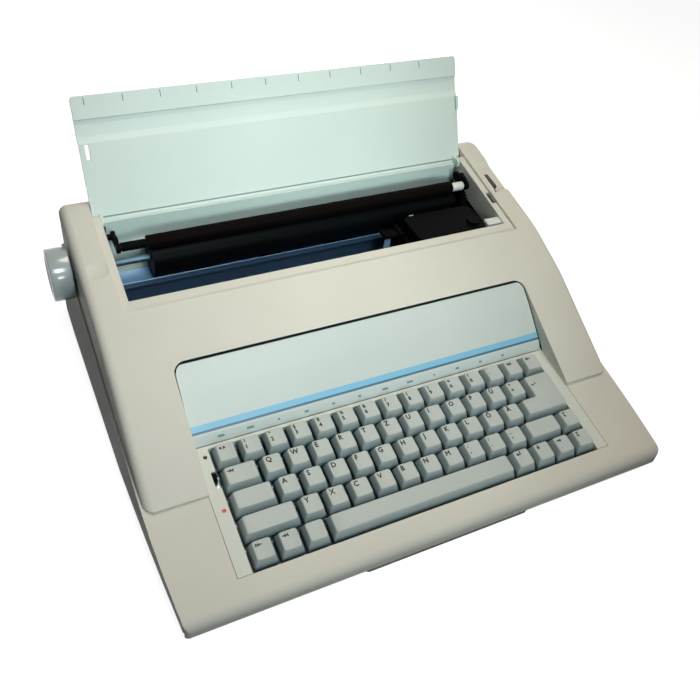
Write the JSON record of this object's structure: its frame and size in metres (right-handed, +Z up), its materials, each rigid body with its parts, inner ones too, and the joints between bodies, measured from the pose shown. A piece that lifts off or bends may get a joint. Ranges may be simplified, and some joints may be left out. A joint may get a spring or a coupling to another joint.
{
  "type": "electronic typewriter",
  "caption": "Portable electronic daisy-wheel typewriter with a sloped keyboard, a hood with an open paper lid, a platen with a side knob and a pull-out handle.",
  "frame": {"origin": "on the table under the middle of the case, halfway between its front and back", "axes": "+X to the right, +Y to the back, +Z up"},
  "size_m": [0.4221, 0.3574, 0.1942],
  "materials": {
    "case_plastic": "matte warm light grey",
    "panel_plastic": "matte light grey with a blue stripe",
    "lid_plastic": "matte light grey-green",
    "key_plastic": "matte light grey",
    "knob_plastic": "satin light grey",
    "black_plastic": "satin black",
    "handle_plastic": "dark grey",
    "platen_rubber": "dull black",
    "navy_metal": "dark blue paint",
    "paper_metal": "dull blue-green",
    "plated_steel": "zinc plated",
    "bright_steel": "ground steel",
    "board_laminate": "green laminate",
    "chip_plastic": "black",
    "lamp_plastic": "clear red",
    "belt_rubber": "black"
  },
  "bodies": {
    "machine": {"bottom_case": "case_plastic", "front_deck": "case_plastic", "top_cover": "case_plastic", "keyboard_panel": "panel_plastic", "keyboard_frame": "case_plastic", "rubber_feet": "platen_rubber", "case_screws": "plated_steel", "left_side_plate": "plated_steel", "right_side_plate": "plated_steel", "deflector_beam": "navy_metal", "guide_shaft": "bright_steel", "guide_rail": "plated_steel", "paper_table": "paper_metal", "paper_pan": "paper_metal", "platen_bushes": "black_plastic", "main_board": "board_laminate", "board_components": "chip_plastic", "transformer": "plated_steel", "mains_inlet": "black_plastic", "key_plate": "plated_steel", "keyboard_membrane": "board_laminate", "status_lamps": "lamp_plastic", "carriage_motor": "plated_steel", "linefeed_motor": "plated_steel", "carriage_belt": "belt_rubber"},
    "lid_body": {"lid": "lid_plastic"},
    "roller": {"platen": "platen_rubber", "platen_shaft": "bright_steel", "platen_gear": "black_plastic", "platen_knob": "knob_plastic"},
    "pinion": {"linefeed_pinion": "black_plastic"},
    "feed": {"feed_roller_shaft": "bright_steel", "feed_rollers": "platen_rubber"},
    "bail": {"bail_arms": "black_plastic", "bail_rod": "bright_steel"},
    "bail_wheel": {"bail_roller": "platen_rubber"},
    "release": {"paper_release_lever": "black_plastic"},
    "carriage": {"carriage_frame": "black_plastic", "wheel_motor": "plated_steel", "ribbon_cassette": "black_plastic"},
    "wheel_lever": {"wheel_release_lever": "black_plastic"},
    "print_wheel": {"daisy_wheel": "black_plastic"},
    "hammer": {"print_hammer": "bright_steel"},
    "ribbon_winder": {"ribbon_knob": "black_plastic"},
    "drive_pulley": {"motor_pulley": "black_plastic"},
    "return_pulley": {"idler_pulley": "black_plastic"},
    "handle": {"carry_handle": "handle_plastic"},
    "switch": {"power_switch_slider": "black_plastic"},
    "number_row_keys_body": {"number_row_keys": "key_plastic"},
    "top_letter_keys_body": {"top_letter_keys": "key_plastic"},
    "home_letter_keys_body": {"home_letter_keys": "key_plastic"},
    "bottom_letter_keys_body": {"bottom_letter_keys": "key_plastic"},
    "margin_keys_body": {"margin_keys": "key_plastic"},
    "function_keys_body": {"function_keys": "key_plastic"},
    "tab_key_body": {"tab_key": "key_plastic"},
    "caps_lock_key_body": {"caps_lock_key": "key_plastic"},
    "left_shift_key_body": {"left_shift_key": "key_plastic"},
    "right_shift_key_body": {"right_shift_key": "key_plastic"},
    "return_key_body": {"return_key": "key_plastic"},
    "spacebar_body": {"spacebar": "key_plastic"}
  },
  "joints": [
    {"name": "lid_hinge", "type": "hinge", "parent": "machine", "child": "lid_body", "pos_m": [0, 0.13682, 0.10755], "axis": [1, 0, 0], "range_deg": [0, 125.8]},
    {"name": "platen_turn", "type": "hinge", "parent": "machine", "child": "roller", "pos_m": [0, 0.1172, 0.079], "axis": [1, 0, 0], "continuous": true},
    {"name": "linefeed_turn", "type": "hinge", "parent": "machine", "child": "pinion", "pos_m": [0.162, 0.13547, 0.06621], "axis": [1, 0, 0], "continuous": true},
    {"name": "feed_turn", "type": "hinge", "parent": "machine", "child": "feed", "pos_m": [0, 0.11323, 0.0565], "axis": [1, 0, 0], "continuous": true},
    {"name": "bail_lift", "type": "hinge", "parent": "machine", "child": "bail", "pos_m": [0, 0.1245, 0.1005], "axis": [1, 0, 0], "range_deg": [-45, 0]},
    {"name": "bail_roller_turn", "type": "hinge", "parent": "bail", "child": "bail_wheel", "pos_m": [0, 0.109, 0.1003], "axis": [1, 0, 0], "continuous": true},
    {"name": "paper_release_swing", "type": "hinge", "parent": "machine", "child": "release", "pos_m": [0.1848, 0.1, 0.08], "axis": [1, 0, 0], "range_deg": [0, 12]},
    {"name": "carriage_travel", "type": "slide", "parent": "machine", "child": "carriage", "axis": [-1, 0, 0], "range_m": [0, 0.225]},
    {"name": "wheel_lever_lift", "type": "hinge", "parent": "carriage", "child": "wheel_lever", "pos_m": [0.0784, 0.081, 0.0844], "axis": [0, 1, 0], "range_deg": [0, 25]},
    {"name": "print_wheel_turn", "type": "hinge", "parent": "carriage", "child": "print_wheel", "pos_m": [0.119, 0.0915, 0.048], "axis": [0, 1, 0], "continuous": true},
    {"name": "hammer_stroke", "type": "slide", "parent": "carriage", "child": "hammer", "axis": [0, 1, 0], "range_m": [0, 0.004], "stiffness_N_per_m": 60, "springref_m": -0.001},
    {"name": "ribbon_knob_turn", "type": "hinge", "parent": "carriage", "child": "ribbon_winder", "pos_m": [0.144, 0.062, 0.095], "axis": [0, 0, 1], "continuous": true},
    {"name": "drive_pulley_turn", "type": "hinge", "parent": "machine", "child": "drive_pulley", "pos_m": [0.164, 0.0435, 0.044], "axis": [0, 1, 0], "continuous": true},
    {"name": "return_pulley_turn", "type": "hinge", "parent": "machine", "child": "return_pulley", "pos_m": [-0.164, 0.0435, 0.044], "axis": [0, 1, 0], "continuous": true},
    {"name": "handle_pull", "type": "slide", "parent": "machine", "child": "handle", "axis": [0, -1, 0], "range_m": [0, 0.03]},
    {"name": "power_switch_slide", "type": "slide", "parent": "machine", "child": "switch", "axis": [0, -0.9877, -0.1564], "range_m": [0, 0.006]},
    {"name": "number_row_keys_press", "type": "slide", "parent": "machine", "child": "number_row_keys_body", "axis": [0, 0.1564, -0.9877], "range_m": [0, 0.0035], "stiffness_N_per_m": 1800, "springref_m": -0.001},
    {"name": "top_letter_keys_press", "type": "slide", "parent": "machine", "child": "top_letter_keys_body", "axis": [0, 0.1564, -0.9877], "range_m": [0, 0.0035], "stiffness_N_per_m": 1440, "springref_m": -0.001},
    {"name": "home_letter_keys_press", "type": "slide", "parent": "machine", "child": "home_letter_keys_body", "axis": [0, 0.1564, -0.9877], "range_m": [0, 0.0035], "stiffness_N_per_m": 1320, "springref_m": -0.001},
    {"name": "bottom_letter_keys_press", "type": "slide", "parent": "machine", "child": "bottom_letter_keys_body", "axis": [0, 0.1564, -0.9877], "range_m": [0, 0.0035], "stiffness_N_per_m": 1200, "springref_m": -0.001},
    {"name": "margin_keys_press", "type": "slide", "parent": "machine", "child": "margin_keys_body", "axis": [0, 0.1564, -0.9877], "range_m": [0, 0.0035], "stiffness_N_per_m": 360, "springref_m": -0.001},
    {"name": "function_keys_press", "type": "slide", "parent": "machine", "child": "function_keys_body", "axis": [0, 0.1564, -0.9877], "range_m": [0, 0.0035], "stiffness_N_per_m": 600, "springref_m": -0.001},
    {"name": "tab_key_press", "type": "slide", "parent": "machine", "child": "tab_key_body", "axis": [0, 0.1564, -0.9877], "range_m": [0, 0.0035], "stiffness_N_per_m": 120, "springref_m": -0.001},
    {"name": "caps_lock_key_press", "type": "slide", "parent": "machine", "child": "caps_lock_key_body", "axis": [0, 0.1564, -0.9877], "range_m": [0, 0.0035], "stiffness_N_per_m": 120, "springref_m": -0.001},
    {"name": "left_shift_key_press", "type": "slide", "parent": "machine", "child": "left_shift_key_body", "axis": [0, 0.1564, -0.9877], "range_m": [0, 0.0035], "stiffness_N_per_m": 120, "springref_m": -0.001},
    {"name": "right_shift_key_press", "type": "slide", "parent": "machine", "child": "right_shift_key_body", "axis": [0, 0.1564, -0.9877], "range_m": [0, 0.0035], "stiffness_N_per_m": 120, "springref_m": -0.001},
    {"name": "return_key_press", "type": "slide", "parent": "machine", "child": "return_key_body", "axis": [0, 0.1564, -0.9877], "range_m": [0, 0.0035], "stiffness_N_per_m": 120, "springref_m": -0.001},
    {"name": "spacebar_press", "type": "slide", "parent": "machine", "child": "spacebar_body", "axis": [0, 0.1564, -0.9877], "range_m": [0, 0.0035], "stiffness_N_per_m": 120, "springref_m": -0.001}
  ],
  "couplings": [
    {"joint": "linefeed_turn", "follows": "platen_turn", "ratio": -2.6667},
    {"joint": "feed_turn", "follows": "platen_turn", "ratio": -2.75},
    {"joint": "drive_pulley_turn", "follows": "carriage_travel", "rad_per_m": -116.28},
    {"joint": "return_pulley_turn", "follows": "carriage_travel", "rad_per_m": -116.28}
  ]
}
